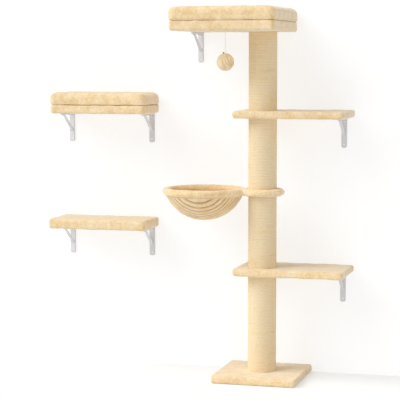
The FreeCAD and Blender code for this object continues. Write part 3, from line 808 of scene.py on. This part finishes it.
class CATTREE_OT_covers(bpy.types.Operator):
    """Stretches plush over the boards of the tree and of the two wall shelves"""
    bl_idname = "cat_tree.covers"
    bl_label = "Board covers"

    def execute(self, context):
        look = context.scene.cat_tree.covers
        waves, tufts = 0.030, 0.009
        for seed, board in enumerate(BOARDS, start=1):
            low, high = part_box(board + "_cover")
            upper = look.pressed_edge if board + "_cushion" in CUSHIONS else look.edge
            cover = soft_block("plush_" + board, low, high, look.corner, upper, look.edge,
                               look.spacing, brushed_plush())
            ruffle(cover, look.ruffle * 2, waves, seed)
            ruffle(cover, look.ruffle, tufts, seed + 20)
            if board == "base":
                keep_above(cover, low.z)
            if board == "perch":
                self.open_recess(cover)
            dress(cover, "tree", "plush", board + "_cover")
        return {"FINISHED"}

    def open_recess(self, cover):
        """Cuts the round opening over the bolt that holds the perch to the post."""
        low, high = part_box("perch_washer")
        radius, height, middle = 0.0125, 0.040, 0.019
        cylinder = bmesh.new()
        bmesh.ops.create_cone(cylinder, cap_ends=True, segments=48, radius1=radius,
                              radius2=radius, depth=height)
        mesh = bpy.data.meshes.new("recess")
        cylinder.to_mesh(mesh)
        cylinder.free()
        cutter = link_object("recess", mesh)
        cutter.location = ((low.x + high.x) / 2, (low.y + high.y) / 2, low.z + middle)
        cut = cover.modifiers.new("Recess", "BOOLEAN")
        cut.object = cutter
        cut.solver = "EXACT"
        bpy.context.view_layer.update()
        apply_modifiers(cover)
        bpy.data.objects.remove(cutter)


class CATTREE_OT_cushions(bpy.types.Operator):
    """Sews the two loose cushions and fills them by cloth simulation"""
    bl_idname = "cat_tree.cushions"
    bl_label = "Cushions"

    def execute(self, context):
        look = context.scene.cat_tree.cushions
        covers = context.scene.cat_tree.covers
        waves, tufts = 0.035, 0.010
        for seed, name in enumerate(CUSHIONS, start=1):
            low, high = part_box(name + "_cover")
            slack = Vector((look.slack,) * 3)
            cushion = soft_block("plush_" + name, low + slack, high - slack, look.corner,
                                 look.edge, look.foot, look.weave, brushed_plush())
            self.fill(context, cushion, look)
            self.fit(cushion, low - Vector((look.bulge, look.bulge, 0.0)),
                     high + Vector((look.bulge, 0.0, 0.0)))
            ruffle(cushion, covers.ruffle * 2, waves, seed + 40)
            ruffle(cushion, covers.ruffle, tufts, seed + 60)
            keep_above(cushion, low.z)
            dress(cushion, name, "plush", name + "_cover", name + "_foam")
        return {"FINISHED"}

    def fill(self, context, cushion, look):
        """Blows the cushion up a little, as its foam does, each point by no more than swell."""
        weave_evenly(cushion, look.weave)
        apply_modifiers(cushion)
        before = coordinates(cushion.data)
        cloth = cushion.modifiers.new("Filling", "CLOTH")
        cloth.settings.use_pressure = True
        cloth.settings.uniform_pressure_force = look.pressure
        cloth.settings.effector_weights.gravity = 0.0
        cloth.point_cache.frame_start = 1
        cloth.point_cache.frame_end = look.steps
        for step in range(1, look.steps + 1):
            context.scene.frame_set(step)
        evaluated = cushion.evaluated_get(context.evaluated_depsgraph_get())
        moved = coordinates(evaluated.data) - before
        cushion.modifiers.clear()
        context.scene.frame_set(1)
        far = np.linalg.norm(moved, axis=1)[:, None]
        filled = before + moved * np.minimum(1.0, look.swell / np.maximum(far, 1e-9))
        # the board stops it below
        filled[:, 2] = np.maximum(filled[:, 2], before[:, 2].min())
        set_coordinates(cushion.data, filled)
        smooth = cushion.modifiers.new("Finer", "SUBSURF")
        smooth.levels = 1
        apply_modifiers(cushion)

    def fit(self, cushion, low, high):
        """Brings the filled cushion to the size that it was cut for."""
        points = coordinates(cushion.data)
        lowest, highest = points.min(0), points.max(0)
        share = (points - lowest) / (highest - lowest)
        set_coordinates(cushion.data, np.array(low) + share * np.array(high - low))


class CATTREE_OT_post(bpy.types.Operator):
    """Winds the four post sections with sisal rope"""
    bl_idname = "cat_tree.post"
    bl_label = "Sisal post"

    def execute(self, context):
        look = context.scene.cat_tree.post
        material = twisted_sisal()
        for name in POST_SECTIONS:
            low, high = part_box(name)
            rope = self.wind("rope_" + name[-1], (high - low).x / 2, low.z, high.z, look, material)
            dress(rope, "tree", "sisal", name)
        return {"FINISHED"}

    def wind(self, name, radius, bottom, top, look, material):
        """One rope wound up the post: a strip whose rows climb one turn for each four rows."""
        rows, columns = 4, look.segments
        turns = math.ceil((top - bottom) / look.pitch) + 1
        row, column = np.meshgrid(np.arange(rows * turns + 1), np.arange(columns), indexing="ij")
        climb = row / rows + column / columns - 1
        groove = np.abs(np.cos(math.pi * row / rows)) ** 1.5
        angle = 2 * math.pi * column / columns
        out = radius - look.depth * groove
        z = np.clip(bottom + climb * look.pitch, bottom, top)
        points = np.column_stack([(out * np.cos(angle)).ravel(), (out * np.sin(angle)).ravel(),
                                  z.ravel()])
        faces, uvs = [], []
        for i in range(rows * turns):
            for j in range(columns):
                last = j == columns - 1
                right, lift = (0, rows) if last else (j + 1, 0)
                if i + 1 + lift > rows * turns:
                    continue
                corners = ((i, j), (i + lift, right), (i + 1 + lift, right), (i + 1, j))
                quad = [a * columns + b for a, b in corners]
                # what the level ends cut off has no height, and is left out
                if np.ptp(points[quad, 2]) < 1e-6:
                    continue
                faces.append(quad)
                along = 2 * math.pi * radius * (i // rows + j / columns)
                step = 2 * math.pi * radius / columns
                share = i / rows
                uvs += [(along, share), (along + step, share), (along + step, share + 1 / rows),
                        (along, share + 1 / rows)]
        rope = bpy.data.meshes.new(name)
        rope.from_pydata([tuple(p) for p in points], [], faces)
        rope.uv_layers.new(name="rope").data.foreach_set("uv", np.array(uvs).ravel())
        # painted shade down in the groove between two turns
        set_painted_shade(rope, groove.ravel())
        rope.shade_smooth()
        rope.materials.append(material)
        piece = link_object(name, rope)
        ruffle(piece, height=0.0004, width=0.012, seed=3)
        return piece


class CATTREE_OT_bed(bpy.types.Operator):
    """Makes the basket bed's quilted shell and the padded rings that it hangs in"""
    bl_idname = "cat_tree.bed"
    bl_label = "Basket bed"

    def execute(self, context):
        look = context.scene.cat_tree.bed
        shell = dress(self.make_shell(look), "hammock", "plush", "hammock_basket")
        sleeve = dress(self.make_sleeve(look), "hammock", "plush", "hammock_rim",
                       "hammock_collar")
        return {"FINISHED"}

    def make_shell(self, look):
        """A shallow bowl. Outside, its ribs run side to side; inside, they run front to back."""
        low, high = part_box("hammock_basket")
        middle = (low + high) / 2
        edge, drop = (high - low).x / 2, high.z - low.z
        radius = (edge * edge + drop * drop) / (2 * drop)
        centre = np.array([middle.x, middle.y, low.z + radius])
        turned = math.atan2(middle.y, middle.x)
        side_way = np.array([math.cos(turned), math.sin(turned)])
        front_way = np.array([-side_way[1], side_way[0]])
        widest = math.acos((radius - drop) / radius)
        tilts = np.linspace(0, 1, look.rings + 1)[1:] * widest
        angles = np.linspace(0, 2 * math.pi, look.segments, endpoint=False)
        tilt, angle = np.meshgrid(tilts, angles, indexing="ij")
        ways = np.stack([np.sin(tilt) * np.cos(angle), np.sin(tilt) * np.sin(angle),
                         -np.cos(tilt)], axis=-1).reshape(-1, 3)
        ways = np.vstack([[[0.0, 0.0, -1.0]], ways])
        hem = 0.05  # the angle below the upper edge over which the ribs fade out
        fade = np.concatenate([[1.0], np.clip((widest - tilt.ravel()) / hem, 0, 1)])
        layers, painted_shades = [], []
        for across, rib, size, rise in ((front_way, look.outer_rib, radius, look.rise),
                                        (side_way, look.inner_rib, radius - look.cloth,
                                         -look.rise)):
            phase = (ways[:, :2] @ across) * size / rib
            puff = np.abs(np.cos(math.pi * phase)) ** 0.6
            layers.append(centre + ways * (size + rise * (puff - 0.7) * fade)[:, None])
            # painted shade down in the quilting seams between the ribs
            painted_shades.append(np.clip(1.15 - 1.3 * puff, 0, 1) * fade)
        count = len(ways)
        faces = []
        for layer, flip in ((0, False), (1, True)):
            start = layer * count
            rows = [[start] * look.segments]
            rows += [[start + 1 + row * look.segments + column for column in range(look.segments)]
                     for row in range(look.rings)]
            for inner, outer in zip(rows, rows[1:]):
                for column in range(look.segments):
                    following = (column + 1) % look.segments
                    face = [inner[column], outer[column], outer[following], inner[following]]
                    # the faces round the middle are triangles
                    face = list(dict.fromkeys(face))
                    faces.append(face[::-1] if flip else face)
        outside = [1 + (look.rings - 1) * look.segments + c for c in range(look.segments)]
        for column in range(look.segments):
            following = (column + 1) % look.segments
            faces.append([outside[column], outside[column] + count, outside[following] + count,
                          outside[following]])
        shell = mesh_object("quilted_shell", np.vstack(layers), faces, brushed_plush())
        set_painted_shade(shell.data, np.concatenate(painted_shades))
        ruffle(shell, height=0.0012, width=0.022, seed=9)
        return shell

    def make_sleeve(self, look):
        """The plush sleeves of the large ring and the collar, sewn into one where they meet."""
        low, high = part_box("hammock_collar")
        collar_middle, tube = (low + high) / 2, (high - low).z / 2
        collar = (high - low).x / 2 - tube
        shell_low, shell_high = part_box("hammock_basket")
        ring_middle = (shell_low + shell_high) / 2
        rim_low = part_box("hammock_rim")[0]
        ring = ring_middle.x - rim_low.x - tube
        gather_width, sides = 0.011, 36
        points, faces = [], []
        for middle, reach, places in ((ring_middle, ring, 280), (collar_middle, collar, 160)):
            gathers = 2 * math.pi * reach / gather_width

            def ripple(turn, side):
                slant = np.sin(gathers * turn + 1.4 * np.sin(side))
                return 1.0 + 0.018 * slant + 0.02 * np.sin(5 * turn + 2 * side)

            new_points, new_faces = tube_grid(reach, tube, places, sides, ripple)
            start = sum(len(part) for part in points)
            points.append(new_points + np.array([middle.x, middle.y, (low.z + high.z) / 2]))
            faces += [[index + start for index in face] for face in new_faces]
        sleeve = mesh_object("padded_rings", np.vstack(points), faces, brushed_plush())
        weave_evenly(sleeve, look.sleeve_weave)
        smooth = sleeve.modifiers.new("Soft join", "SMOOTH")
        smooth.factor = 0.5
        smooth.iterations = 3
        apply_modifiers(sleeve)
        ruffle(sleeve, height=0.0010, width=0.012, seed=11)
        self.clear_post(sleeve, look)
        return sleeve

    def clear_post(self, sleeve, look):
        """Keeps the collar off the rope, so that it turns freely round the post."""
        low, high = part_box("post_sisal_2")
        nearest = (high - low).x / 2 + look.clearance
        points = coordinates(sleeve.data)
        away = np.hypot(points[:, 0], points[:, 1])
        points[:, :2] *= (np.maximum(away, nearest) / away)[:, None]
        set_coordinates(sleeve.data, points)


class CATTREE_OT_hard_parts(bpy.types.Operator):
    """Paints the brackets, fasteners, boards and tubes that stay as they are in the frame"""
    bl_idname = "cat_tree.hard_parts"
    bl_label = "Steel, boards and tubes"

    def execute(self, context):
        slots = {row["node"]: row["material_slot"] for row in frame["record"]["subparts"]}
        finishes = {"bracket_paint": powder_coated_steel, "zinc_steel": zinc_plated_steel,
                    "particle_board": pressed_chipboard, "cardboard": wound_cardboard}
        for slot, finish in finishes.items():
            paint(finish(), *(node for node, used in slots.items() if used == slot))
        return {"FINISHED"}


class VIEW3D_PT_cat_tree(bpy.types.Panel):
    """Lists the cat tree's pieces and their settings"""
    bl_label = "Cat Tree"
    bl_space_type = "VIEW_3D"
    bl_region_type = "UI"
    bl_category = "Cat Tree"

    def draw(self, context):
        settings = context.scene.cat_tree
        for operator, group in STEPS:
            section = self.layout.box()
            section.operator(operator.bl_idname)
            if group:
                for name in getattr(settings, group).__annotations__:
                    section.prop(getattr(settings, group), name)


STEPS = ((CATTREE_OT_stage, "stage"), (CATTREE_OT_ball, "ball"), (CATTREE_OT_covers, "covers"),
         (CATTREE_OT_cushions, "cushions"), (CATTREE_OT_post, "post"), (CATTREE_OT_bed, "bed"),
         (CATTREE_OT_hard_parts, "steel"))
SETTINGS = (StageSettings, CoverSettings, CushionSettings, PostSettings, BedSettings, BallSettings,
            SteelSettings, CatTreeSettings)


def register():
    for settings in SETTINGS:
        bpy.utils.register_class(settings)
    for operator, _ in STEPS:
        bpy.utils.register_class(operator)
    bpy.utils.register_class(VIEW3D_PT_cat_tree)
    bpy.types.Scene.cat_tree = PointerProperty(type=CatTreeSettings)


def unregister():
    del bpy.types.Scene.cat_tree
    bpy.utils.unregister_class(VIEW3D_PT_cat_tree)
    for operator, _ in reversed(STEPS):
        bpy.utils.unregister_class(operator)
    for settings in reversed(SETTINGS):
        bpy.utils.unregister_class(settings)


def main():
    """Makes every piece."""
    register()
    for operator, _ in STEPS:
        group, name = operator.bl_idname.split(".")
        getattr(getattr(bpy.ops, group), name)()


if __name__ == "__main__":
    main()
